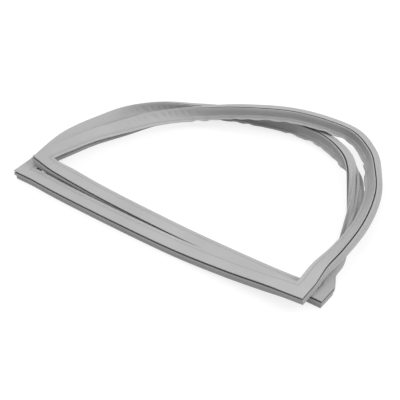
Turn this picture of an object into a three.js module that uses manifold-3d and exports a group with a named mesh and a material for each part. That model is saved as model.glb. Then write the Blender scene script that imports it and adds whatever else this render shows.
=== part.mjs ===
import * as THREE from 'three';
import { mergeVertices } from 'three/addons/utils/BufferGeometryUtils.js';
import Module from 'manifold-3d';

// Refrigerator door gasket: one closed rectangle of hollow soft vinyl profile with four
// mitred, welded corners, folded into two turns so that both short sides lie at the front.
// Millimetres, Z up, the floor at Z = 0.

// Overall sizes of the gasket laid out flat
const SHORT_SIDE = 650;
const LONG_SIDE = 1218;

// Section: u runs from the outer edge of the face inwards, v runs up with the face at 0
const FACE_WIDTH = 30;
const SECTION_HEIGHT = 20;
const WALL = 1;
const LIP_HEIGHT = 2.3;
const PLEAT_HEIGHT = 1.7;
const PLEAT_DEPTH = 3;
const SIDE_WALL_DROP = 11;
const SIDE_WALL_INSET = 0.3;
const INNER_WALL_SETBACK = 2.4;
const BASE_THICKNESS = 1.5;
const FOOT_INSET = 2.7;
const LEG_THICKNESS = 1.5;
const DART_STEM = 2.8;
const DART_BARB = 6;
const DART_BARB_DROP = 2.6;
const FLAP_WIDTH = 11;
const FLAP_THICKNESS = 1.3;
const FLAP_DROP = 0.3;
const CREASE_DEPTH = 0.5;
const CREASE_REACH = 2;

// Flexible magnetic strip and its pocket just below the face
const MAGNET_WIDTH = 10.6;
const MAGNET_THICKNESS = 2.6;
const MAGNET_CLEARANCE = 0.4;
const POCKET_SLIT = 1.2;

// Breather holes through the base plate, one in every side
const BREATHER_RADIUS = 1.1;

// How the folded gasket lies
const STACK_GAP = 1.5;
const FRONT_BOW = 8;
const REAR_SHIFT = 18;
const CORNER_LEAD = 24;
const LONG_STEP = 31;
const SHORT_STEP = 52;
const TWIST_SHARE = 62;
const FLAP_GATHER = 13;

// In a tight bend the stiff middle of the face sinks behind its rim, by a share of the fold
const RIM_WIDTH = 4.6;
const RIM_HINGE_DEPTH = 1.2;
const SINK_SHARE = 0.26;

const degrees = THREE.MathUtils.degToRad;
const UP = new THREE.Vector3(0, 0, 1);
const HALF_WIDTH = FACE_WIDTH / 2;
const HALF_HEIGHT = SECTION_HEIGHT / 2;
const STACK_LIFT = SECTION_HEIGHT + STACK_GAP;

// Section outline, once round: face, flap, inner wall, legs and dart, outer wall
const CREASE = FACE_WIDTH - FLAP_WIDTH;
const BASE_TOP = -SIDE_WALL_DROP;
const BASE_UNDER = BASE_TOP - BASE_THICKNESS;
const PLEAT_TOP = -LIP_HEIGHT;
const PLEAT_BOTTOM = PLEAT_TOP - PLEAT_HEIGHT;
const INNER_WALL = CREASE + INNER_WALL_SETBACK;
const INNER_LEG = FACE_WIDTH - FOOT_INSET;
const DART_MIDDLE = FACE_WIDTH / 2;
const POCKET_WIDTH = MAGNET_WIDTH + 2 * MAGNET_CLEARANCE;
const POCKET_DEPTH = MAGNET_THICKNESS + 2 * MAGNET_CLEARANCE;
const POCKET_START = CREASE - WALL - POCKET_WIDTH;
const POCKET_FLOOR = -WALL - POCKET_DEPTH;
const HEAD_BOTTOM = POCKET_FLOOR - WALL;
const FLAP_UNDER = -FLAP_DROP - FLAP_THICKNESS;
const FLAP_ROOT = FLAP_UNDER - 0.4;

const outline = [
  [0, 0],
  [RIM_WIDTH, 0],
  [CREASE - CREASE_REACH, 0],
  [CREASE, -CREASE_DEPTH],
  [CREASE + CREASE_REACH, -0.1],
  [FACE_WIDTH, -FLAP_DROP],
  [FACE_WIDTH, FLAP_UNDER],
  [INNER_WALL, FLAP_ROOT],
  [INNER_WALL + 0.8, HEAD_BOTTOM - 0.6],
  [INNER_WALL, BASE_TOP],
  [INNER_LEG, BASE_TOP - 0.4],
  [INNER_LEG - 0.4, 1 - SECTION_HEIGHT],
  [INNER_LEG - LEG_THICKNESS, 1 - SECTION_HEIGHT],
  [INNER_LEG - LEG_THICKNESS, BASE_UNDER],
  [DART_MIDDLE + DART_STEM / 2, BASE_UNDER],
  [DART_MIDDLE + DART_BARB / 2, BASE_UNDER - DART_BARB_DROP],
  [DART_MIDDLE, 0.6 - SECTION_HEIGHT],
  [DART_MIDDLE - DART_BARB / 2, BASE_UNDER - DART_BARB_DROP],
  [DART_MIDDLE - DART_STEM / 2, BASE_UNDER],
  [FOOT_INSET + LEG_THICKNESS, BASE_UNDER],
  [FOOT_INSET + LEG_THICKNESS, -SECTION_HEIGHT],
  [FOOT_INSET, -SECTION_HEIGHT],
  [FOOT_INSET, BASE_TOP - 0.6],
  [SIDE_WALL_INSET, BASE_TOP],
  [SIDE_WALL_INSET, PLEAT_BOTTOM],
  [PLEAT_DEPTH, PLEAT_BOTTOM + 0.4],
  [PLEAT_DEPTH, PLEAT_TOP - 0.4],
  [0, PLEAT_TOP],
];

// Hollow of the section: the air chamber, joined to the magnet pocket by a slit
const hollow = [
  [PLEAT_DEPTH + WALL, -WALL],
  [POCKET_START - WALL, -WALL],
  [POCKET_START - WALL, HEAD_BOTTOM],
  [POCKET_START, HEAD_BOTTOM],
  [POCKET_START, -WALL],
  [POCKET_START + POCKET_WIDTH, -WALL],
  [POCKET_START + POCKET_WIDTH, POCKET_FLOOR],
  [POCKET_START + POCKET_SLIT, POCKET_FLOOR],
  [POCKET_START + POCKET_SLIT, HEAD_BOTTOM],
  [INNER_WALL - WALL, HEAD_BOTTOM],
  [INNER_WALL - WALL, BASE_TOP],
  [FOOT_INSET + WALL, BASE_TOP],
  [SIDE_WALL_INSET + WALL, BASE_TOP + WALL],
  [SIDE_WALL_INSET + WALL, PLEAT_BOTTOM - WALL],
  [PLEAT_DEPTH + WALL, PLEAT_BOTTOM - WALL],
];

// Points of the section that can touch the floor
const restingPoints = [
  [0, 0],
  [FACE_WIDTH, -FLAP_DROP],
  [INNER_LEG - 0.4, 1 - SECTION_HEIGHT],
  [INNER_LEG - LEG_THICKNESS, 1 - SECTION_HEIGHT],
  [FOOT_INSET + LEG_THICKNESS, -SECTION_HEIGHT],
  [FOOT_INSET, -SECTION_HEIGHT],
  [SIDE_WALL_INSET, BASE_TOP],
];

const magnet = [
  [POCKET_START + MAGNET_CLEARANCE, -WALL - MAGNET_CLEARANCE],
  [POCKET_START + MAGNET_CLEARANCE + MAGNET_WIDTH, -WALL - MAGNET_CLEARANCE],
  [POCKET_START + MAGNET_CLEARANCE + MAGNET_WIDTH, MAGNET_CLEARANCE + POCKET_FLOOR],
  [POCKET_START + MAGNET_CLEARANCE, MAGNET_CLEARANCE + POCKET_FLOOR],
];

// The four corners, in the middle of the section. A slope is the rise along X and along Y.
const REAR_Y = FACE_WIDTH + STACK_GAP;
const corners = {
  frontLeft: { x: HALF_WIDTH, y: HALF_WIDTH, lift: 0, slopeX: 0, slopeY: 0 },
  frontRight: {
    x: SHORT_SIDE - HALF_WIDTH,
    y: HALF_WIDTH,
    lift: STACK_LIFT - 0.06 * FACE_WIDTH,
    slopeX: 0.1,
    slopeY: 0.12,
  },
  rearLeft: {
    x: REAR_SHIFT + HALF_WIDTH,
    y: REAR_Y + HALF_WIDTH,
    lift: STACK_LIFT - 0.12 * FACE_WIDTH,
    slopeX: -0.25,
    slopeY: -0.12,
  },
  rearRight: {
    x: REAR_SHIFT + SHORT_SIDE - HALF_WIDTH,
    y: REAR_Y + HALF_WIDTH,
    lift: 0,
    slopeX: 0,
    slopeY: 0,
  },
};

// Long sides, point by point: x over the short side, y over the depth of the loop,
// lift over the face width, roll of the face about the side and fold of the flap in degrees
const outerCurve = [
  [0.975, 0.172, 0.86, -25, 0],
  [0.974, 0.286, 0.86, -38, 0],
  [0.961, 0.479, 0.66, -46, 4],
  [0.918, 0.676, 0.42, -55, 14],
  [0.864, 0.804, 0.35, -68, 34],
  [0.815, 0.901, 0.35, -79, 50],
  [0.736, 0.97, 0.52, -88, 60],
  [0.643, 0.955, 0.92, -90, 64],
  [0.537, 0.905, 1.14, -90, 64],
  [0.423, 0.842, 0.97, -89, 64],
  [0.329, 0.794, 0.6, -84, 60],
  [0.235, 0.716, 0.27, -68, 46],
  [0.175, 0.611, 0.23, -45, 18],
  [0.131, 0.486, 0.27, -29, 3],
  [0.086, 0.353, 0.33, -20, 0],
  [0.067, 0.218, 0.54, -15, 0],
];
const innerCurve = [
  [0.982, 0.202, 0, 24, 0],
  [0.97, 0.279, 0, 60, 0],
  [0.956, 0.374, 0, 95, 0],
  [0.943, 0.452, 0, 132, 0],
  [0.916, 0.546, 0, 165, 0],
  [0.884, 0.639, 0, 190, 0],
  [0.852, 0.714, 0, 215, 0],
  [0.813, 0.788, 0, 240, 12],
  [0.77, 0.844, 0, 258, 36],
  [0.712, 0.892, 0, 268, 54],
  [0.649, 0.922, 0, 272, 62],
  [0.592, 0.93, 0, 272, 64],
  [0.523, 0.924, 0, 272, 64],
  [0.442, 0.899, 0, 272, 64],
  [0.337, 0.852, 0, 274, 64],
  [0.251, 0.796, 0, 278, 60],
  [0.143, 0.71, 0, 288, 48],
  [0.075, 0.595, 0, 304, 24],
  [0.045, 0.477, 0, 322, 6],
  [0.012, 0.298, 0, 345, 0],
];

// Short sides: place along the side and lift over the face width
const frontStrip = [[0.15, 0], [0.32, 0], [0.48, 0], [0.62, 0.04], [0.78, 0.25], [0.9, 0.5]];
const rearStrip = [[0.1, 0.42], [0.2, 0.25], [0.32, 0.11], [0.46, 0.02], [0.66, 0], [0.85, 0]];

// Height of the middle of the section when it rests on something at this roll
function restHeight(roll) {
  return Math.max(...restingPoints.map(([u, v]) => (
    (HALF_WIDTH - u) * Math.sin(roll) - (v + HALF_HEIGHT) * Math.cos(roll)
  )));
}

function cornerNormal(corner) {
  return new THREE.Vector3(-corner.slopeX, -corner.slopeY, 1).normalize();
}

function cornerRoll(corner, travel) {
  const side = travel.clone().cross(UP).normalize();
  const rise = side.clone().cross(travel);
  const normal = cornerNormal(corner);
  return Math.atan2(normal.dot(side), normal.dot(rise));
}

// Direction of travel at a corner, along X or along Y, following its slope
function cornerTravel(corner, dx, dy) {
  return new THREE.Vector3(dx, dy, corner.slopeX * dx + corner.slopeY * dy).normalize();
}

// A run joins two corners. Rows between them hold x, y, lift, roll and fold.
function makeRun(start, startTravel, end, endTravel, turns, rows) {
  const startRoll = cornerRoll(start, startTravel);
  const endRoll = cornerRoll(end, endTravel) + turns * 2 * Math.PI;
  const leadIn = startTravel.clone().multiplyScalar(CORNER_LEAD);
  const leadOut = endTravel.clone().multiplyScalar(-CORNER_LEAD);
  const all = [
    [start.x, start.y, start.lift, startRoll, 0],
    [start.x + leadIn.x, start.y + leadIn.y, start.lift + leadIn.z, startRoll, 0],
    ...rows,
    [end.x + leadOut.x, end.y + leadOut.y, end.lift + leadOut.z, endRoll, 0],
    [end.x, end.y, end.lift, endRoll, 0],
  ];
  const plan = new THREE.CatmullRomCurve3(all.map((r) => new THREE.Vector3(r[0], r[1], 0)), false, 'centripetal');
  const state = new THREE.CatmullRomCurve3(all.map((r) => new THREE.Vector3(r[2], r[3], r[4])), false, 'catmullrom');
  return { start, end, startTravel, endTravel, plan, state };
}

function placeOn(run, t) {
  const place = run.plan.getPoint(t);
  const state = run.state.getPoint(t);
  place.z = Math.max(0, state.x) + restHeight(state.y);
  return place;
}

// Running length of a run at many even steps of its parameter
function runLengths(run) {
  const steps = 480;
  const lengths = [0];
  let last = placeOn(run, 0);
  for (let i = 1; i <= steps; i += 1) {
    const next = placeOn(run, i / steps);
    lengths.push(lengths[i - 1] + next.distanceTo(last));
    last = next;
  }
  return lengths;
}

// The same with the twist added, so that stations lie closer where the profile twists
function twistedLengths(run, lengths) {
  let twist = 0;
  return lengths.map((length, i) => {
    const steps = lengths.length - 1;
    if (i > 0) {
      twist += Math.abs(run.state.getPoint(i / steps).y - run.state.getPoint((i - 1) / steps).y);
    }
    return length + TWIST_SHARE * twist;
  });
}

function parameterAt(lengths, distance) {
  let i = 1;
  while (i < lengths.length - 1 && lengths[i] < distance) {
    i += 1;
  }
  const share = (distance - lengths[i - 1]) / (lengths[i] - lengths[i - 1]);
  return (i - 1 + share) / (lengths.length - 1);
}

function shortRun(start, end, strip) {
  const rows = strip.map(([along, lift]) => [
    THREE.MathUtils.lerp(start.x, end.x, along),
    start.y - FRONT_BOW * 4 * along * (1 - along),
    lift * FACE_WIDTH,
    0,
    0,
  ]);
  return makeRun(start, cornerTravel(start, 1, 0), end, cornerTravel(end, 1, 0), 0, rows);
}

// The depth of each long side's curve follows from the length of the side
function longRun(start, end, curve, turns) {
  const wanted = LONG_SIDE - FACE_WIDTH;
  let shallow = 0.2 * wanted;
  let deep = 0.6 * wanted;
  let run = null;
  for (let i = 0; i < 30; i += 1) {
    const depth = (shallow + deep) / 2;
    const rows = curve.map(([x, y, lift, roll, fold]) => [
      x * SHORT_SIDE, y * depth, lift * FACE_WIDTH, degrees(roll), degrees(fold),
    ]);
    run = makeRun(start, cornerTravel(start, 0, 1), end, cornerTravel(end, 0, -1), turns, rows);
    if (runLengths(run).at(-1) > wanted) {
      deep = depth;
    } else {
      shallow = depth;
    }
  }
  return run;
}

// A station holds the middle of the section, its outward and upward directions, the fold of the
// flap and how far the face behind the rim sinks
function stationOn(run, t, gather) {
  const centre = placeOn(run, t);
  const travel = placeOn(run, Math.min(1, t + 0.002)).sub(placeOn(run, Math.max(0, t - 0.002))).normalize();
  const state = run.state.getPoint(t);
  const side = travel.clone().cross(UP).normalize();
  const rise = side.clone().cross(travel);
  const outward = side.clone().multiplyScalar(Math.cos(state.y)).addScaledVector(rise, -Math.sin(state.y));
  const upward = rise.clone().multiplyScalar(Math.cos(state.y)).addScaledVector(side, Math.sin(state.y));
  const fold = Math.max(0, state.z);
  const wave = Math.min(1, fold / degrees(30)) * degrees(FLAP_GATHER) * gather;
  return { centre, outward, upward, fold: fold + wave, sink: SINK_SHARE * fold };
}

// At a corner the outward direction is the diagonal of both sides, which gives the mitre
function cornerStation(corner, travelIn, travelOut) {
  const upward = cornerNormal(corner);
  const roll = cornerRoll(corner, travelIn);
  const outward = travelIn.clone().cross(upward).add(travelOut.clone().cross(upward));
  const centre = new THREE.Vector3(corner.x, corner.y, corner.lift + restHeight(roll));
  return { centre, outward, upward, fold: 0, sink: 0 };
}

function runStations(run, step) {
  const lengths = twistedLengths(run, runLengths(run));
  const inner = lengths.at(-1) - 2 * CORNER_LEAD;
  const count = Math.round(inner / step);
  const stations = [];
  for (let i = 0; i <= count; i += 1) {
    const t = parameterAt(lengths, CORNER_LEAD + (inner * i) / count);
    stations.push(stationOn(run, t, i % 2 === 0 ? 1 : -1));
  }
  return stations;
}

// Points of a section at a station. The flap turns up from its crease, and the part of the face
// behind the rim sinks with the magnet pocket, so that the face folds to a V in a tight bend.
function ringPoints(section, station) {
  const rim = new THREE.Vector2(RIM_WIDTH, -RIM_HINGE_DEPTH);
  const crease = new THREE.Vector2(CREASE + 0.2, -CREASE_DEPTH - 0.2);
  return section.map(([u, v]) => {
    const point = new THREE.Vector2(u, v);
    const head = THREE.MathUtils.clamp(v - HEAD_BOTTOM + WALL + 0.1, 0, 1);
    if (u > CREASE && v >= FLAP_ROOT) {
      point.rotateAround(crease, station.fold + station.sink);
    }
    if (u > RIM_WIDTH) {
      point.rotateAround(rim, -station.sink * head);
    }
    return station.centre.clone()
      .addScaledVector(station.outward, HALF_WIDTH - point.x)
      .addScaledVector(station.upward, point.y + HALF_HEIGHT);
  });
}

// Sweep a section through stations, either round the whole loop or with two flat ends
function sweep(section, stations, closed) {
  const positions = [];
  const faces = [];
  const size = section.length;
  const count = stations.length;
  stations.forEach((station) => {
    ringPoints(section, station).forEach((p) => positions.push(p.x, p.y, p.z));
  });
  const spans = closed ? count : count - 1;
  for (let i = 0; i < spans; i += 1) {
    const near = i * size;
    const far = ((i + 1) % count) * size;
    for (let j = 0; j < size; j += 1) {
      const k = (j + 1) % size;
      faces.push(near + j, far + k, near + k, near + j, far + j, far + k);
    }
  }
  if (!closed) {
    const cap = THREE.ShapeUtils.triangulateShape(section.map(([u, v]) => new THREE.Vector2(-u, v)), []);
    const end = (count - 1) * size;
    cap.forEach(([a, b, c]) => {
      faces.push(a, b, c);
      faces.push(end + a, end + c, end + b);
    });
  }
  const geometry = new THREE.BufferGeometry();
  geometry.setAttribute('position', new THREE.Float32BufferAttribute(positions, 3));
  geometry.setIndex(faces);
  return geometry;
}

const wasm = await Module();
wasm.setup();

function toManifold(geometry) {
  return new wasm.Manifold(new wasm.Mesh({
    numProp: 3,
    vertProperties: new Float32Array(geometry.attributes.position.array),
    triVerts: new Uint32Array(geometry.index.array),
  }));
}

function fromManifold(solid) {
  const mesh = solid.getMesh();
  const geometry = new THREE.BufferGeometry();
  geometry.setAttribute('position', new THREE.BufferAttribute(mesh.vertProperties, 3));
  geometry.setIndex(new THREE.BufferAttribute(mesh.triVerts, 1));
  return geometry;
}

// A short upright pin through the base plate, between the dart and the outer leg
function breatherPin(station) {
  const pin = new THREE.CylinderGeometry(BREATHER_RADIUS, BREATHER_RADIUS, 2 * (BASE_THICKNESS + WALL), 8);
  pin.deleteAttribute('normal');
  pin.deleteAttribute('uv');
  const travel = station.outward.clone().cross(station.upward);
  const turn = new THREE.Matrix4().makeBasis(station.outward, station.upward, travel);
  const middle = station.centre.clone()
    .addScaledVector(station.outward, HALF_WIDTH - (FOOT_INSET + DART_MIDDLE) / 2)
    .addScaledVector(station.upward, HALF_HEIGHT + BASE_TOP);
  return mergeVertices(pin).applyMatrix4(turn.setPosition(middle));
}

const { frontLeft, frontRight, rearLeft, rearRight } = corners;
const runs = [
  shortRun(frontLeft, frontRight, frontStrip),
  longRun(frontRight, rearLeft, outerCurve, 0),
  shortRun(rearLeft, rearRight, rearStrip),
  longRun(rearRight, frontLeft, innerCurve, 1),
];
const stationsOfRuns = runs.map((run, i) => runStations(run, i % 2 === 0 ? SHORT_STEP : LONG_STEP));
const loop = [];
runs.forEach((run, i) => {
  const before = runs[(i + 3) % 4];
  loop.push(cornerStation(run.start, before.endTravel, run.startTravel), ...stationsOfRuns[i]);
});

let profile = toManifold(sweep(outline, loop, true)).subtract(toManifold(sweep(hollow, loop, true)));
stationsOfRuns.forEach((stations) => {
  profile = profile.subtract(toManifold(breatherPin(stations[2])));
});

const vinyl = new THREE.MeshStandardMaterial({ color: 0xb4b4b4, roughness: 0.55, metalness: 0 });
const ferrite = new THREE.MeshStandardMaterial({ color: 0x3a3634, roughness: 0.7, metalness: 0 });
const gasket = new THREE.Group();
gasket.name = 'door_gasket';

const profileGeometry = fromManifold(profile);
const extent = new THREE.Box3().setFromBufferAttribute(profileGeometry.attributes.position);
const middle = extent.getCenter(new THREE.Vector3());

// The origin is the middle of the gasket's footprint, on the floor
function addPiece(name, geometry, material) {
  geometry.translate(-middle.x, -middle.y, -extent.min.z);
  geometry.computeVertexNormals();
  const piece = new THREE.Mesh(geometry, material);
  piece.name = name;
  gasket.add(piece);
}

addPiece('gasket_profile', profileGeometry, vinyl);
const magnetNames = ['magnet_front', 'magnet_outer_curve', 'magnet_rear', 'magnet_inner_curve'];
stationsOfRuns.forEach((stations, i) => {
  addPiece(magnetNames[i], sweep(magnet, stations, false), ferrite);
});

export default gasket;
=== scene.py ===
import math

import bmesh
import bpy
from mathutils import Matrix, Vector, noise


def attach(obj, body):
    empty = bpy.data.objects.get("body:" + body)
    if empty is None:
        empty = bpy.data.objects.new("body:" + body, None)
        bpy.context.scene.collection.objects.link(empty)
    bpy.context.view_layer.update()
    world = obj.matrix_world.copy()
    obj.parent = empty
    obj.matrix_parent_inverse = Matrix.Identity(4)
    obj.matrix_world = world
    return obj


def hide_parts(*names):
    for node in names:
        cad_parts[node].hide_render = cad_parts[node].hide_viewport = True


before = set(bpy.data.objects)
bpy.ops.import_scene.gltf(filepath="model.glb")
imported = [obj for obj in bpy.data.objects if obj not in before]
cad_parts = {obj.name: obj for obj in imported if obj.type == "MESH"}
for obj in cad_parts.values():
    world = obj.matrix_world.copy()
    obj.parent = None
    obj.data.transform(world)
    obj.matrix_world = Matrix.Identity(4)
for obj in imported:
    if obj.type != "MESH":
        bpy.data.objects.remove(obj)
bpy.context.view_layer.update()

# A refrigerator door gasket, one closed rectangle of hollow soft vinyl profile with magnetic strips
# inside, laid down in two turns. Sizes are in millimetres, and MM makes them metres.
MM = 0.001

# ---------------------------------------------------------------------------
# Camera first: the photograph's angle and a long lens
# ---------------------------------------------------------------------------

CAMERA_AZIMUTH = 36
CAMERA_ELEVATION = 38
CAMERA_DISTANCE = 2253
CAMERA_TARGET = (-3.6, -79.7, 0.4)
CAMERA_LENS = 108

azimuth = math.radians(CAMERA_AZIMUTH)
elevation = math.radians(CAMERA_ELEVATION)
back = Vector((
    math.sin(azimuth) * math.cos(elevation),
    -math.cos(azimuth) * math.cos(elevation),
    math.sin(elevation),
))
camera_data = bpy.data.cameras.new("camera")
camera_data.sensor_fit = "HORIZONTAL"
camera_data.sensor_width = 36
camera_data.lens = CAMERA_LENS
camera_data.clip_end = 20
camera = bpy.data.objects.new("camera", camera_data)
camera.location = (Vector(CAMERA_TARGET) + back * CAMERA_DISTANCE) * MM
camera.rotation_euler = back.to_track_quat("Z", "Y").to_euler()
bpy.context.scene.collection.objects.link(camera)
bpy.context.scene.camera = camera

# ---------------------------------------------------------------------------
# Sizes of the gasket and of its section
# ---------------------------------------------------------------------------

SHORT_SIDE = 650
LONG_SIDE = 1218
FACE_WIDTH = 30
SECTION_HEIGHT = 20
WALL = 1

# Outer side: lip, pleat with its open groove, bulging side wall
LIP_HEIGHT = 2.1
LIP_INSET = 0.2
LIP_SLOPE = 0.3
PLEAT_HEIGHT = 2.8
PLEAT_DEPTH = 4
PLEAT_SLOPE = 0.1
PLEAT_MOUTH = 0.4
SIDE_WALL_DROP = 11
SIDE_WALL_INSET = 0.3
SIDE_BULGE_DROP = 4

# Inner side: flap, the soft valley along it, and the inner wall under its root
FLAP_WIDTH = 11
FLAP_THICKNESS = 1.3
FLAP_DROP = 0.3
FLAP_ROOT_DROP = 0.7
VALLEY = 23.2
VALLEY_DEPTH = 1.3
VALLEY_REACH = 3.2
INNER_WALL_SETBACK = 2.4
INNER_WALL_BOW = 0.8
INNER_WALL_BOW_DROP = 6

# Underside: base plate, two feet and the barbed dart
BASE_THICKNESS = 1.5
FOOT_INSET = 2.7
OUTER_FOOT_FILLET = 0.6
LEG_THICKNESS = 1.5
LEG_TAPER = 0.4
INNER_LEG_RISE = 1
DART_STEM = 2.8
DART_BARB = 6
DART_BARB_DROP = 2.6
DART_TIP_RISE = 0.6

MAGNET_WIDTH = 10.6
MAGNET_THICKNESS = 2.6
MAGNET_CLEARANCE = 0.4

# How the folded gasket lies
STACK_GAP = 1.5
FRONT_BOW = 8
REAR_SHIFT = 18
CORNER_LEAD = 24
FRONT_RIGHT_SAG = 0.06
REAR_LEFT_SAG = 0.12

# The middle of the footprint and the floor, seen from the front left corner of the gasket
FOOTPRINT_MIDDLE = Vector((330.62, 234.678, -0.393))

HALF_WIDTH = FACE_WIDTH / 2
HALF_HEIGHT = SECTION_HEIGHT / 2
STACK_LIFT = SECTION_HEIGHT + STACK_GAP
CREASE = FACE_WIDTH - FLAP_WIDTH
BASE_TOP = -SIDE_WALL_DROP
BASE_UNDER = BASE_TOP - BASE_THICKNESS
PLEAT_TOP = -LIP_HEIGHT
PLEAT_BOTTOM = PLEAT_TOP - PLEAT_HEIGHT
INNER_WALL = CREASE + INNER_WALL_SETBACK
INNER_LEG = FACE_WIDTH - FOOT_INSET
DART_MIDDLE = FACE_WIDTH / 2
BULGE = PLEAT_BOTTOM - SIDE_BULGE_DROP
INNER_LEG_BOTTOM = INNER_LEG_RISE - SECTION_HEIGHT
MAGNET_END = CREASE - WALL - MAGNET_CLEARANCE
MAGNET_TOP = -WALL - MAGNET_CLEARANCE
UP = Vector((0, 0, 1))

# The points of the section that can touch the floor
RESTING_POINTS = [
    (0, 0),
    (FACE_WIDTH, -FLAP_DROP),
    (INNER_LEG - LEG_TAPER, INNER_LEG_BOTTOM),
    (INNER_LEG - LEG_THICKNESS, INNER_LEG_BOTTOM),
    (FOOT_INSET + LEG_THICKNESS, -SECTION_HEIGHT),
    (FOOT_INSET, -SECTION_HEIGHT),
    (SIDE_WALL_INSET, BASE_TOP),
]

# Outline of the section: u from the outer edge of the face inwards, v upwards from the face
OUTLINE = [
    (0, 0),
    (VALLEY - VALLEY_REACH, 0),
    (VALLEY, -VALLEY_DEPTH),
    (VALLEY + VALLEY_REACH, 0),
    (FACE_WIDTH, -FLAP_DROP),
    (FACE_WIDTH, -FLAP_DROP - FLAP_THICKNESS),
    (INNER_WALL, -FLAP_ROOT_DROP - FLAP_THICKNESS),
    (INNER_WALL + INNER_WALL_BOW, -INNER_WALL_BOW_DROP),
    (INNER_WALL, BASE_TOP),
    (INNER_LEG, BASE_TOP - LEG_TAPER),
    (INNER_LEG - LEG_TAPER, INNER_LEG_BOTTOM),
    (INNER_LEG - LEG_THICKNESS, INNER_LEG_BOTTOM),
    (INNER_LEG - LEG_THICKNESS, BASE_UNDER),
    (DART_MIDDLE + DART_STEM / 2, BASE_UNDER),
    (DART_MIDDLE + DART_BARB / 2, BASE_UNDER - DART_BARB_DROP),
    (DART_MIDDLE, DART_TIP_RISE - SECTION_HEIGHT),
    (DART_MIDDLE - DART_BARB / 2, BASE_UNDER - DART_BARB_DROP),
    (DART_MIDDLE - DART_STEM / 2, BASE_UNDER),
    (FOOT_INSET + LEG_THICKNESS, BASE_UNDER),
    (FOOT_INSET + LEG_THICKNESS, -SECTION_HEIGHT),
    (FOOT_INSET, -SECTION_HEIGHT),
    (FOOT_INSET, BASE_TOP - OUTER_FOOT_FILLET),
    (SIDE_WALL_INSET, BASE_TOP),
    (0, BULGE),
    (SIDE_WALL_INSET, PLEAT_BOTTOM),
    (PLEAT_DEPTH, PLEAT_BOTTOM + PLEAT_SLOPE),
    (PLEAT_DEPTH, PLEAT_TOP - LIP_SLOPE),
    (LIP_INSET, PLEAT_TOP),
]

# Section of the magnetic strip in its pocket
STRIP_OUTLINE = [
    (MAGNET_END, MAGNET_TOP),
    (MAGNET_END, MAGNET_TOP - MAGNET_THICKNESS),
    (MAGNET_END - MAGNET_WIDTH, MAGNET_TOP - MAGNET_THICKNESS),
    (MAGNET_END - MAGNET_WIDTH, MAGNET_TOP),
]

# ---------------------------------------------------------------------------
# The way the gasket lies: four corners and the four sides between them
# ---------------------------------------------------------------------------

# Middle of the section at each corner: x, y, lift, and the slope of the face along X and along Y.
# The two upper corners sag a little from the height of a full strand.
LEFT_X = HALF_WIDTH
RIGHT_X = SHORT_SIDE - HALF_WIDTH
FRONT_Y = HALF_WIDTH
REAR_Y = FACE_WIDTH + STACK_GAP + HALF_WIDTH
CORNERS = {
    "front_left": (LEFT_X, FRONT_Y, 0, 0, 0),
    "front_right": (RIGHT_X, FRONT_Y, STACK_LIFT - FRONT_RIGHT_SAG * FACE_WIDTH, 0.1, 0.12),
    "rear_left": (REAR_SHIFT + LEFT_X, REAR_Y, STACK_LIFT - REAR_LEFT_SAG * FACE_WIDTH, -0.25, -0.12),
    "rear_right": (REAR_SHIFT + RIGHT_X, REAR_Y, 0, 0, 0),
}

# The long sides, point by point: x over the short side, y over the depth of the loop, lift over
# the face width, roll of the face about the side and fold of the flap in degrees
OUTER_CURVE = [
    (0.975, 0.172, 0.84, -18, 0),
    (0.979, 0.286, 0.84, -29, 0),
    (0.966, 0.479, 0.66, -42, 3),
    (0.924, 0.676, 0.42, -53, 8),
    (0.872, 0.808, 0.35, -64, 26),
    (0.821, 0.907, 0.38, -77, 46),
    (0.741, 0.975, 0.55, -88, 68),
    (0.643, 0.955, 0.92, -90, 74),
    (0.537, 0.905, 1.14, -90, 74),
    (0.423, 0.842, 0.97, -89, 74),
    (0.329, 0.794, 0.6, -84, 68),
    (0.235, 0.716, 0.27, -68, 46),
    (0.175, 0.611, 0.23, -45, 18),
    (0.131, 0.486, 0.27, -29, 3),
    (0.086, 0.353, 0.33, -20, 0),
    (0.067, 0.218, 0.54, -15, 0),
]
INNER_CURVE = [
    (0.982, 0.202, 0, 12, 0),
    (0.97, 0.279, 0, 50, 0),
    (0.956, 0.374, 0, 95, 0),
    (0.943, 0.452, 0, 132, 0),
    (0.916, 0.546, 0, 165, 0),
    (0.884, 0.639, 0, 190, 0),
    (0.852, 0.714, 0, 215, 0),
    (0.813, 0.788, 0, 240, 12),
    (0.77, 0.844, 0, 258, 36),
    (0.712, 0.892, 0, 268, 54),
    (0.649, 0.922, 0, 272, 70),
    (0.592, 0.93, 0, 272, 72),
    (0.523, 0.924, 0, 272, 72),
    (0.442, 0.899, 0, 272, 72),
    (0.337, 0.852, 0, 274, 70),
    (0.251, 0.796, 0, 278, 60),
    (0.143, 0.71, 0, 288, 48),
    (0.075, 0.595, 0, 304, 24),
    (0.045, 0.477, 0, 322, 6),
    (0.012, 0.298, 0, 345, 0),
]
# The short sides: place along the side and lift over the face width
FRONT_STRIP = [(0.15, 0), (0.32, 0), (0.48, 0), (0.62, 0.04), (0.78, 0.25), (0.9, 0.5)]
REAR_STRIP = [(0.1, 0.42), (0.2, 0.28), (0.32, 0.18), (0.46, 0.1), (0.6, 0.03), (0.85, 0)]


def cubic(x0, x1, t0, t1, t):
    """A cubic from x0 to x1 with slopes t0 and t1."""
    c2 = -3 * x0 + 3 * x1 - 2 * t0 - t1
    c3 = 2 * x0 - 2 * x1 + t0 + t1
    return x0 + t0 * t + c2 * t * t + c3 * t * t * t


def four_points(rows, share):
    """The two rows around a place along the side, one more before and after, and the share between."""
    last = len(rows) - 1
    i = min(int(share * last), last - 1)
    t = share * last - i
    p1 = rows[i]
    p2 = rows[i + 1]
    p0 = rows[i - 1] if i > 0 else 2 * rows[0] - rows[1]
    p3 = rows[i + 2] if i + 2 <= last else 2 * rows[last] - rows[last - 1]
    return p0, p1, p2, p3, t


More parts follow.
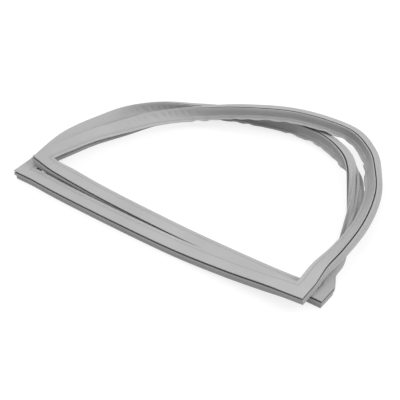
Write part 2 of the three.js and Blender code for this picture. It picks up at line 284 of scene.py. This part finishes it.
def plan_point(rows, share):
    """Place on the floor plan, on a smooth line through the rows."""
    p0, p1, p2, p3, t = four_points(rows, share)
    d1 = (p2 - p1).length ** 0.5 or 1
    d0 = (p1 - p0).length ** 0.5 or d1
    d2 = (p3 - p2).length ** 0.5 or d1
    t1 = ((p1 - p0) / d0 - (p2 - p0) / (d0 + d1) + (p2 - p1) / d1) * d1
    t2 = ((p2 - p1) / d1 - (p3 - p1) / (d1 + d2) + (p3 - p2) / d2) * d1
    return cubic(p1, p2, t1, t2, t)


def state_point(rows, share):
    """Lift, roll and fold there."""
    p0, p1, p2, p3, t = four_points(rows, share)
    return cubic(p1, p2, (p2 - p0) / 2, (p3 - p1) / 2, t)


def rest_height(roll):
    """Height of the middle of the section when it rests on something at this roll."""
    return max(
        (HALF_WIDTH - u) * math.sin(roll) - (v + HALF_HEIGHT) * math.cos(roll)
        for u, v in RESTING_POINTS
    )


def corner_normal(corner):
    """Upward direction of the face at a corner."""
    return Vector((-corner[3], -corner[4], 1)).normalized()


def corner_travel(corner, dx, dy):
    """Direction of travel at a corner, along X or along Y, following its slope."""
    return Vector((dx, dy, corner[3] * dx + corner[4] * dy)).normalized()


def corner_roll(corner, travel):
    """Roll of the face at a corner for a side that leaves or reaches it in this direction."""
    side = travel.cross(UP).normalized()
    rise = side.cross(travel)
    normal = corner_normal(corner)
    return math.atan2(normal.dot(side), normal.dot(rise))


class Side:
    """One side of the gasket, from corner to corner. Its rows hold x, y, lift, roll and fold."""

    def __init__(self, start, travel_in, end, travel_out, turns, rows):
        roll_in = corner_roll(start, travel_in)
        roll_out = corner_roll(end, travel_out) + turns * 2 * math.pi
        lead_in = travel_in * CORNER_LEAD
        lead_out = -travel_out * CORNER_LEAD
        every = [
            (start[0], start[1], start[2], roll_in, 0),
            (start[0] + lead_in.x, start[1] + lead_in.y, start[2] + lead_in.z, roll_in, 0),
            *rows,
            (end[0] + lead_out.x, end[1] + lead_out.y, end[2] + lead_out.z, roll_out, 0),
            (end[0], end[1], end[2], roll_out, 0),
        ]
        self.start = start
        self.end = end
        self.travel_in = travel_in
        self.travel_out = travel_out
        self.plan = [Vector((r[0], r[1], 0)) for r in every]
        self.state = [Vector((r[2], r[3], r[4])) for r in every]

    def place(self, share):
        """Middle of the section at a share of the side's parameter."""
        point = plan_point(self.plan, share)
        state = state_point(self.state, share)
        point.z = max(0, state.x) + rest_height(state.y)
        return point

    def lengths(self, steps=480):
        """Running length at many even steps of the parameter."""
        total = [0]
        last = self.place(0)
        for i in range(1, steps + 1):
            here = self.place(i / steps)
            total.append(total[-1] + (here - last).length)
            last = here
        return total


def share_at(lengths, distance):
    """The share of a side's parameter at a running length."""
    i = 1
    while i < len(lengths) - 1 and lengths[i] < distance:
        i += 1
    return (i - 1 + (distance - lengths[i - 1]) / (lengths[i] - lengths[i - 1])) / (len(lengths) - 1)


def short_side(start, end, strip):
    """A short side bows a little towards the front."""
    rows = [
        (
            start[0] + (end[0] - start[0]) * along,
            start[1] - FRONT_BOW * 4 * along * (1 - along),
            lift * FACE_WIDTH,
            0,
            0,
        )
        for along, lift in strip
    ]
    return Side(start, corner_travel(start, 1, 0), end, corner_travel(end, 1, 0), 0, rows)


DEPTH_HALVINGS = 24


def long_side(start, end, curve, turns):
    """The depth of the curve follows from the length of the side, by halving the doubt."""
    wanted = LONG_SIDE - FACE_WIDTH
    shallow = 0.2 * wanted
    deep = 0.6 * wanted
    side = None
    for _ in range(DEPTH_HALVINGS):
        depth = (shallow + deep) / 2
        rows = [
            (x * SHORT_SIDE, y * depth, lift * FACE_WIDTH, math.radians(roll), math.radians(fold))
            for x, y, lift, roll, fold in curve
        ]
        side = Side(start, corner_travel(start, 0, 1), end, corner_travel(end, 0, -1), turns, rows)
        if side.lengths()[-1] > wanted:
            deep = depth
        else:
            shallow = depth
    return side


OUTER_CURVE_INDEX = 1
INNER_CURVE_INDEX = 3
SIDES = [
    short_side(CORNERS["front_left"], CORNERS["front_right"], FRONT_STRIP),
    long_side(CORNERS["front_right"], CORNERS["rear_left"], OUTER_CURVE, 0),
    short_side(CORNERS["rear_left"], CORNERS["rear_right"], REAR_STRIP),
    long_side(CORNERS["rear_right"], CORNERS["front_left"], INNER_CURVE, 1),
]

# ---------------------------------------------------------------------------
# Stations along the gasket: where the section stands and which way it faces
# ---------------------------------------------------------------------------

SHORT_PITCH = 14
LONG_PITCH = 4.6
LEAD_PLACES = (1.1, 2.4, 6, 12, 18)
TANGENT_STEP = 0.002


def station_on(side, share):
    """Middle, outward direction, upward direction and fold of the flap."""
    centre = side.place(share)
    ahead = side.place(min(1, share + TANGENT_STEP))
    behind = side.place(max(0, share - TANGENT_STEP))
    travel = (ahead - behind).normalized()
    state = state_point(side.state, share)
    across = travel.cross(UP).normalized()
    rise = across.cross(travel)
    outward = across * math.cos(state.y) - rise * math.sin(state.y)
    upward = rise * math.cos(state.y) + across * math.sin(state.y)
    return centre, outward, upward, max(0, state.z)


def corner_station(corner, travel_in, travel_out):
    """At a corner the outward direction is the diagonal of both sides, which gives the mitre."""
    upward = corner_normal(corner)
    outward = travel_in.cross(upward) + travel_out.cross(upward)
    centre = Vector((corner[0], corner[1], corner[2] + rest_height(corner_roll(corner, travel_in))))
    return centre, outward, upward, 0


def between(a, b, share):
    """A station between two others."""
    return tuple(x + (y - x) * share for x, y in zip(a, b))


def side_stations(index):
    """Stations of one side, each with the side's number, running length and weld share."""
    side = SIDES[index]
    before = SIDES[index - 1]
    after = SIDES[(index + 1) % 4]
    pitch = LONG_PITCH if index % 2 else SHORT_PITCH
    lengths = side.lengths()
    whole = lengths[-1]
    first = corner_station(side.start, before.travel_out, side.travel_in)
    last = corner_station(side.end, side.travel_out, after.travel_in)
    lead_in = station_on(side, share_at(lengths, CORNER_LEAD))
    lead_out = station_on(side, share_at(lengths, whole - CORNER_LEAD))
    stations = [(first, index, 0.0, 1.0)]
    for along in LEAD_PLACES:
        stations.append((between(first, lead_in, along / CORNER_LEAD), index, along, 0.0))
    count = round((whole - 2 * CORNER_LEAD) / pitch)
    for i in range(count + 1):
        along = CORNER_LEAD + (whole - 2 * CORNER_LEAD) * i / count
        stations.append((station_on(side, share_at(lengths, along)), index, along, 0.0))
    for along in reversed(LEAD_PLACES):
        stations.append((between(last, lead_out, along / CORNER_LEAD), index, whole - along, 0.0))
    return stations


STATIONS = [station for index in range(4) for station in side_stations(index)]

# ---------------------------------------------------------------------------
# Small shapes that the bending leaves in the soft profile
# ---------------------------------------------------------------------------


def smooth(x):
    """A soft step from 0 to 1."""
    x = max(0.0, min(1.0, x))
    return x * x * (3 - 2 * x)


def zone(along, low, high, soft):
    """1 between two running lengths, fading to 0 over a soft length at both ends."""
    return smooth((along - low) / soft) * smooth((high - along) / soft)


SEED_SPACING = 7.31


def uneven(along, length, seed):
    """A slow wave with an uneven pace, between -1 and 1."""
    return noise.noise(Vector((along / length, seed * SEED_SPACING, 0.5))) * 2


# The flap's gathers: their angle, the fold at which they are full, their length, and how their
# pace and their size vary along the gasket
FLAP_GATHER = math.radians(13)
FLAP_GATHER_FULL = math.radians(30)
FLAP_WAVE = 34
FACET_SHARPNESS = 0.6
GATHER_PACE_SHARE = 0.5
GATHER_PACE_LENGTH = 70
GATHER_SIZE_SHARE = 0.6
GATHER_SIZE_LENGTH = 60
GATHER_SIZE_SEED = 9

# The face in a tight bend: where the rim ends, how round its hinge and the crease are, how far
# the stiff middle sinks as a share of the fold, and how deep the head reaches below the face
RIM = 4.6
RIM_ROUNDING = 1.8
CREASE_ROUNDING = 1.8
CAVE_SHARE = 0.24
HEAD_DEPTH = 4.5
NECK_DEPTH = 10.5
LINE_STEP = 0.5

# Dimples on the outer curve, in a row where its bend is tightest. A zone holds its two ends by
# running length, and over how much of it the dimples fade.
DIMPLE_ZONE = (360, 580, 40)
DIMPLE_DEPTH = 1.9
DIMPLE_PITCH = 11.5
DIMPLE_LENGTH = 2.8
DIMPLE_WIDTH = 3
DIMPLE_PLACE = 8

# Slanting ripples across the face, in zones of the same kind on both long sides
OUTER_RIPPLE_ZONES = [(810, 1010, 50)]
INNER_RIPPLE_ZONES = [(410, 640, 50), (740, 930, 50)]
RIPPLE_DEPTH = 2.2
RIPPLE_PITCH = 15.5
RIPPLE_SLANT = 26
RIPPLE_EDGE = 1.5
RIPPLE_PACE_SHARE = 0.4
RIPPLE_PACE_LENGTH = 45
OUTER_RIPPLE_SEED = 3
INNER_RIPPLE_SEED = 5

# The weld bead stands up from the face at each mitre, over the upper millimetre of the section
WELD_BEAD = 0.12
WELD_DEPTH = 1


def flap_angle(fold, index, along):
    """The flap gathers in flat lengths with short creases between them."""
    if fold <= 0:
        return 0
    pace = GATHER_PACE_SHARE * uneven(along, GATHER_PACE_LENGTH, 1 + index)
    place = along / FLAP_WAVE + pace
    wave = math.sin(2 * math.pi * place)
    facet = math.copysign(abs(wave) ** FACET_SHARPNESS, wave)
    size = GATHER_SIZE_SHARE * (1 + uneven(along, GATHER_SIZE_LENGTH, GATHER_SIZE_SEED))
    return fold + min(1, fold / FLAP_GATHER_FULL) * FLAP_GATHER * facet * size


def ripple(u, along, seed):
    """Slanting folds across the face, deepest in the middle of its width."""
    if u < RIPPLE_EDGE or u > CREASE:
        return 0.0
    across = math.sin(math.pi * (u - RIPPLE_EDGE) / (CREASE - RIPPLE_EDGE))
    pace = RIPPLE_PACE_SHARE * uneven(along, RIPPLE_PACE_LENGTH, seed)
    phase = along / RIPPLE_PITCH + u / RIPPLE_SLANT + pace
    return across * (0.5 + 0.5 * math.sin(2 * math.pi * phase))


def face_dent(u, index, along):
    """How far the face is pushed in, for dimples and for the ripples where the bend is tight."""
    dent = 0.0
    if index == OUTER_CURVE_INDEX:
        dimples = zone(along, *DIMPLE_ZONE)
        if dimples > 0:
            from_middle = ((along / DIMPLE_PITCH) % 1 - 0.5) * DIMPLE_PITCH
            lengthwise = (from_middle / DIMPLE_LENGTH) ** 2
            crosswise = ((u - DIMPLE_PLACE) / DIMPLE_WIDTH) ** 2
            dent += DIMPLE_DEPTH * dimples * math.exp(-lengthwise - crosswise)
        rippled = sum(zone(along, *ends) for ends in OUTER_RIPPLE_ZONES)
        dent += RIPPLE_DEPTH * rippled * ripple(u, along, OUTER_RIPPLE_SEED)
    if index == INNER_CURVE_INDEX:
        rippled = sum(zone(along, *ends) for ends in INNER_RIPPLE_ZONES)
        dent += RIPPLE_DEPTH * rippled * ripple(u, along, INNER_RIPPLE_SEED)
    return dent


def head_line(fold, flap):
    """The line of the face across its width: the rim stays, the stiff middle with the magnet
    sinks in, and the flap turns up from the crease. Each place holds u, v and the slope."""
    cave = fold * CAVE_SHARE
    line = []
    x = 0.0
    y = 0.0
    for i in range(round(FACE_WIDTH / LINE_STEP) + 1):
        u = i * LINE_STEP
        sink = smooth((u - RIM) / RIM_ROUNDING + 0.5)
        rise = smooth((u - CREASE) / CREASE_ROUNDING + 0.5)
        slope = -cave * sink + (cave + flap) * rise
        line.append((x, y, slope))
        x += LINE_STEP * math.cos(slope)
        y += LINE_STEP * math.sin(slope)
    return line


def bent(u, v, station, index, along, weld, line):
    """Where a point of the straight profile lies on the folded gasket."""
    centre, outward, upward, fold = station
    if v > -HEAD_DEPTH:
        v -= face_dent(u, index, along)
    x = u
    y = v
    head = 1.0 if v > -HEAD_DEPTH else smooth((v + NECK_DEPTH) / (NECK_DEPTH - HEAD_DEPTH))
    if fold > 0 and head > 0 and (u > CREASE or v > -HEAD_DEPTH):
        place = max(0.0, min(FACE_WIDTH - 0.001, u)) / LINE_STEP
        i = int(place)
        share = place - i
        x0, y0, slope0 = line[i]
        x1, y1, slope1 = line[i + 1]
        slope = slope0 + (slope1 - slope0) * share
        head_x = x0 + (x1 - x0) * share - math.sin(slope) * v
        head_y = y0 + (y1 - y0) * share + math.cos(slope) * v
        x += (head_x - x) * head
        y += (head_y - y) * head
    if weld and v > -WELD_DEPTH:
        y += WELD_BEAD
    return centre + outward * (HALF_WIDTH - x) + upward * (y + HALF_HEIGHT) - FOOTPRINT_MIDDLE


# ---------------------------------------------------------------------------
# The profile: an outline drawn once, its corners rounded, extruded and bent
# ---------------------------------------------------------------------------

CORNER_ROUNDING = 0.28
OUTLINE_PITCH = 2.4
SEAM_GAP = 0.02
HARD_EDGE = math.radians(26)

# Painted shade: the groove of the pleat is painted dark, and the bottom of the valley thinly, for the
# shade that falls in them
PLEAT_PAINTED_SHADE = 1.0
VALLEY_PAINTED_SHADE = 0.25
VALLEY_PAINTED_SHADE_REACH = 0.5
ON_LINE = 0.01


def draw_outline(bm, outline):
    """A section as one closed line in the X and Y of the mesh, face upwards."""
    verts = [bm.verts.new((-u, v, 0)) for u, v in outline]
    for i in range(len(verts)):
        bm.edges.new((verts[i - 1], verts[i]))
    bmesh.ops.bevel(
        bm, geom=verts, offset=CORNER_ROUNDING, offset_type="OFFSET", segments=1,
        profile=0.5, affect="VERTICES", material=-1,
    )
    for edge in list(bm.edges):
        cuts = int(edge.calc_length() / OUTLINE_PITCH)
        if cuts:
            bmesh.ops.subdivide_edges(bm, edges=[edge], cuts=cuts)
    return list(bm.edges)


def extrude_profile(bm, outline, spans):
    """A straight length of profile with one ring of points for each station."""
    start = draw_outline(bm, outline)
    grown = bmesh.ops.extrude_edge_only(bm, edges=start)["geom"]
    far = [g for g in grown if isinstance(g, bmesh.types.BMVert)]
    bmesh.ops.translate(bm, verts=far, vec=(0, 0, spans))
    lengthwise = [e for e in bm.edges if abs(e.verts[0].co.z - e.verts[1].co.z) > 0.5]
    bmesh.ops.subdivide_edges(bm, edges=lengthwise, cuts=spans - 1, use_grid_fill=True)


def painted_shade_at(u, v):
    """How much painted shade a place of the section gets: full in the groove of the pleat, thin along
    the valley.
    """
    # The inside of the pleat's groove gets full painted shade
    if PLEAT_MOUTH < u <= PLEAT_DEPTH and PLEAT_BOTTOM - ON_LINE < v < PLEAT_TOP + ON_LINE:
        return PLEAT_PAINTED_SHADE
    # A thin painted shade along the bottom of the valley
    if abs(u - VALLEY) < VALLEY_PAINTED_SHADE_REACH and v > -VALLEY_DEPTH - ON_LINE:
        return VALLEY_PAINTED_SHADE
    return 0.0


def bend_profile(bm, stations):
    """Lays a straight length along its stations."""
    lines = [head_line(s[0][3], flap_angle(s[0][3], s[1], s[2])) for s in stations]
    # Painted shade for the groove and the valley, kept on each point
    painted_shade = bm.verts.layers.float.new("painted_shade")
    for vert in bm.verts:
        u = -vert.co.x
        v = vert.co.y
        vert[painted_shade] = painted_shade_at(u, v)
        i = round(vert.co.z) % len(stations)
        station, index, along, weld = stations[i]
        vert.co = bent(u, v, station, index, along, weld, lines[i]) * MM


def finished_piece(bm, name):
    """Merges the seams, turns every face outwards and marks the hard edges."""
    bmesh.ops.remove_doubles(bm, verts=bm.verts, dist=SEAM_GAP * MM)
    bmesh.ops.recalc_face_normals(bm, faces=bm.faces)
    for face in bm.faces:
        face.smooth = True
    for edge in bm.edges:
        if len(edge.link_faces) == 2 and edge.calc_face_angle() > HARD_EDGE:
            edge.smooth = False
    mesh = bpy.data.meshes.new(name)
    bm.to_mesh(mesh)
    bm.free()
    piece = bpy.data.objects.new(name, mesh)
    bpy.context.scene.collection.objects.link(piece)
    return piece


def make_gasket():
    """The whole profile, closed on itself."""
    bm = bmesh.new()
    extrude_profile(bm, OUTLINE, len(STATIONS))
    bend_profile(bm, STATIONS)
    return finished_piece(bm, "gasket_skin")


def make_magnetic_strip(index, name):
    """The strip lies in its pocket and stops short of both mitres."""
    stations = [s for s in STATIONS if s[1] == index][len(LEAD_PLACES) + 1:-len(LEAD_PLACES)]
    bm = bmesh.new()
    extrude_profile(bm, STRIP_OUTLINE, len(stations) - 1)
    bend_profile(bm, stations)
    ends = [e for e in bm.edges if e.is_boundary]
    bmesh.ops.holes_fill(bm, edges=ends, sides=0)
    return finished_piece(bm, name)


# ---------------------------------------------------------------------------
# Materials
# ---------------------------------------------------------------------------

# Pattern sizes in millimetres. The vinyl's grain and the ferrite's powder are really finer than
# 0.2 mm, and are drawn as coarse as they need to show.
DRIFT_SIZE = 111
GRAIN_SIZE = 1.43
GRAIN_HEIGHT = 0.3
POWDER_SIZE = 1.11
POWDER_HEIGHT = 0.2

# Sockets of the colour Mix node
MIX_FACTOR = 0
MIX_FIRST = 6
MIX_SECOND = 7
MIX_RESULT = 2


def pattern_scale(size):
    """Scale of a noise on Object coordinates for a pattern of this size in millimetres."""
    return 1 / (size * MM)


def linear(code):
    """An sRGB hex colour as linear RGBA."""
    parts = [int(code[i:i + 2], 16) / 255 for i in (1, 3, 5)]
    return (*[p / 12.92 if p <= 0.04045 else ((p + 0.055) / 1.055) ** 2.4 for p in parts], 1)


def node(tree, kind, settings=None, values=None, links=None):
    """Adds a node with its settings, input values and links."""
    made = tree.nodes.new(kind)
    for key, value in (settings or {}).items():
        setattr(made, key, value)
    for key, value in (values or {}).items():
        made.inputs[key].default_value = value
    for key, socket in (links or {}).items():
        tree.links.new(socket, made.inputs[key])
    return made


def new_material(name):
    """An empty material and its tree."""
    material = bpy.data.materials.new(name)
    material.use_nodes = True
    material.node_tree.nodes.clear()
    return material, material.node_tree


def extruded_soft_vinyl():
    """Extruded soft PVC, light grey. The die leaves it smooth with a dull satin sheen. It takes
    up a little dust and handling, so its grey and its sheen drift slowly. Its groove and its
    valley are darkened with painted shade."""
    material, tree = new_material("extruded soft vinyl")
    place = node(tree, "ShaderNodeTexCoord").outputs["Object"]
    drift = node(
        tree, "ShaderNodeTexNoise", links={"Vector": place},
        values={"Scale": pattern_scale(DRIFT_SIZE), "Detail": 3, "Roughness": 0.55},
    )
    grey = node(tree, "ShaderNodeValToRGB", links={"Fac": drift.outputs["Fac"]})
    grey.color_ramp.elements[0].position = 0.3
    grey.color_ramp.elements[0].color = linear("#b1b1b1")
    grey.color_ramp.elements[1].position = 0.7
    grey.color_ramp.elements[1].color = linear("#b9b9b9")
    # Painted shade: points in the pleat's groove and along the valley are mixed towards this dark grey
    painted_shade = node(tree, "ShaderNodeAttribute", settings={"attribute_name": "painted_shade"})
    with_painted_shade = node(tree, "ShaderNodeMix", settings={"data_type": "RGBA"},
                 values={MIX_SECOND: linear("#6a6866")},
                 links={MIX_FACTOR: painted_shade.outputs["Fac"], MIX_FIRST: grey.outputs["Color"]})
    sheen = node(tree, "ShaderNodeMapRange", values={"To Min": 0.5, "To Max": 0.62},
                 links={"Value": drift.outputs["Fac"]})
    grain = node(tree, "ShaderNodeTexNoise", links={"Vector": place},
                 values={"Scale": pattern_scale(GRAIN_SIZE), "Detail": 2})
    bump = node(tree, "ShaderNodeBump", values={"Strength": 0.12, "Distance": GRAIN_HEIGHT * MM},
                links={"Height": grain.outputs["Fac"]})
    shader = node(
        tree, "ShaderNodeBsdfPrincipled", values={"IOR": 1.53, "Metallic": 0},
        links={"Base Color": with_painted_shade.outputs[MIX_RESULT], "Roughness": sheen.outputs["Result"],
               "Normal": bump.outputs["Normal"]},
    )
    node(tree, "ShaderNodeOutputMaterial", links={"Surface": shader.outputs["BSDF"]})
    return material


def bonded_ferrite():
    """Ferrite powder in a rubber binder, rolled to a dark brown-grey, dull strip."""
    material, tree = new_material("bonded ferrite strip")
    place = node(tree, "ShaderNodeTexCoord").outputs["Object"]
    powder = node(tree, "ShaderNodeTexNoise", links={"Vector": place},
                  values={"Scale": pattern_scale(POWDER_SIZE), "Detail": 3})
    brown = node(tree, "ShaderNodeValToRGB", links={"Fac": powder.outputs["Fac"]})
    brown.color_ramp.elements[0].color = linear("#2c2927")
    brown.color_ramp.elements[1].color = linear("#46413e")
    bump = node(tree, "ShaderNodeBump", values={"Strength": 0.2, "Distance": POWDER_HEIGHT * MM},
                links={"Height": powder.outputs["Fac"]})
    shader = node(
        tree, "ShaderNodeBsdfPrincipled", values={"Roughness": 0.72, "Metallic": 0},
        links={"Base Color": brown.outputs["Color"], "Normal": bump.outputs["Normal"]},
    )
    node(tree, "ShaderNodeOutputMaterial", links={"Surface": shader.outputs["BSDF"]})
    return material


def studio_floor():
    """A plain white floor: it keeps the gasket's shadow, and gives little light back."""
    material, tree = new_material("studio floor")
    path = node(tree, "ShaderNodeLightPath")
    seen = node(tree, "ShaderNodeMath", settings={"operation": "MAXIMUM"},
                links={0: path.outputs["Is Camera Ray"], 1: path.outputs["Is Glossy Ray"]})
    bounce = node(tree, "ShaderNodeBsdfDiffuse", values={"Color": linear("#a8a8a8")})
    white = node(tree, "ShaderNodeBsdfDiffuse", values={"Color": linear("#8c8c8c")})
    lift = node(tree, "ShaderNodeEmission", values={"Strength": 0.8})
    pale = node(tree, "ShaderNodeAddShader",
                links={0: white.outputs["BSDF"], 1: lift.outputs["Emission"]})
    mix = node(tree, "ShaderNodeMixShader", links={
        "Fac": seen.outputs[0],
        1: bounce.outputs["BSDF"],
        2: pale.outputs["Shader"],
    })
    node(tree, "ShaderNodeOutputMaterial", links={"Surface": mix.outputs["Shader"]})
    return material


# ---------------------------------------------------------------------------
# The pieces
# ---------------------------------------------------------------------------

vinyl = extruded_soft_vinyl()
ferrite = bonded_ferrite()

gasket = make_gasket()
gasket.data.materials.append(vinyl)
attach(gasket, "root")
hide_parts("gasket_profile")

for index, side in enumerate(("front", "outer_curve", "rear", "inner_curve")):
    strip = make_magnetic_strip(index, "strip_" + side)
    strip.data.materials.append(ferrite)
    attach(strip, "root")
    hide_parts("magnet_" + side)

# ---------------------------------------------------------------------------
# Floor, light and surroundings
# ---------------------------------------------------------------------------

FLOOR_SIZE = 12000
FLOOR_GAP = 0.4

floor_mesh = bmesh.new()
bmesh.ops.create_grid(floor_mesh, x_segments=1, y_segments=1, size=FLOOR_SIZE * MM)
floor_data = bpy.data.meshes.new("floor")
floor_mesh.to_mesh(floor_data)
floor_mesh.free()
floor = bpy.data.objects.new("floor", floor_data)
floor.location.z = -FLOOR_GAP * MM
floor_data.materials.append(studio_floor())
bpy.context.scene.collection.objects.link(floor)


def soft_light(name, place, size, power):
    """A large soft box that faces the gasket. Place and size are in metres, power in watts."""
    data = bpy.data.lights.new(name, "AREA")
    data.shape = "SQUARE"
    data.size = size
    data.energy = power
    lamp = bpy.data.objects.new(name, data)
    lamp.location = place
    lamp.rotation_euler = Vector(place).to_track_quat("Z", "Y").to_euler()
    bpy.context.scene.collection.objects.link(lamp)
    return lamp


soft_light("key", place=(1.9, 0.4, 2.0), size=1.6, power=29)
soft_light("left", place=(-2.0, 0.2, 1.9), size=1.8, power=18)
soft_light("top", place=(0.2, -1.2, 2.7), size=1.8, power=17)

world = bpy.data.worlds.new("studio")
world.use_nodes = True
world_tree = world.node_tree
world_tree.nodes.clear()
around = node(world_tree, "ShaderNodeBackground", values={"Color": (1, 1, 1, 1), "Strength": 0.5})
backdrop = node(world_tree, "ShaderNodeBackground", values={"Color": (1, 1, 1, 1), "Strength": 1.0})
world_path = node(world_tree, "ShaderNodeLightPath")
world_mix = node(world_tree, "ShaderNodeMixShader", links={
    "Fac": world_path.outputs["Is Camera Ray"],
    1: around.outputs["Background"],
    2: backdrop.outputs["Background"],
})
node(world_tree, "ShaderNodeOutputWorld", links={"Surface": world_mix.outputs["Shader"]})
bpy.context.scene.world = world
bpy.context.scene.view_settings.view_transform = "Standard"
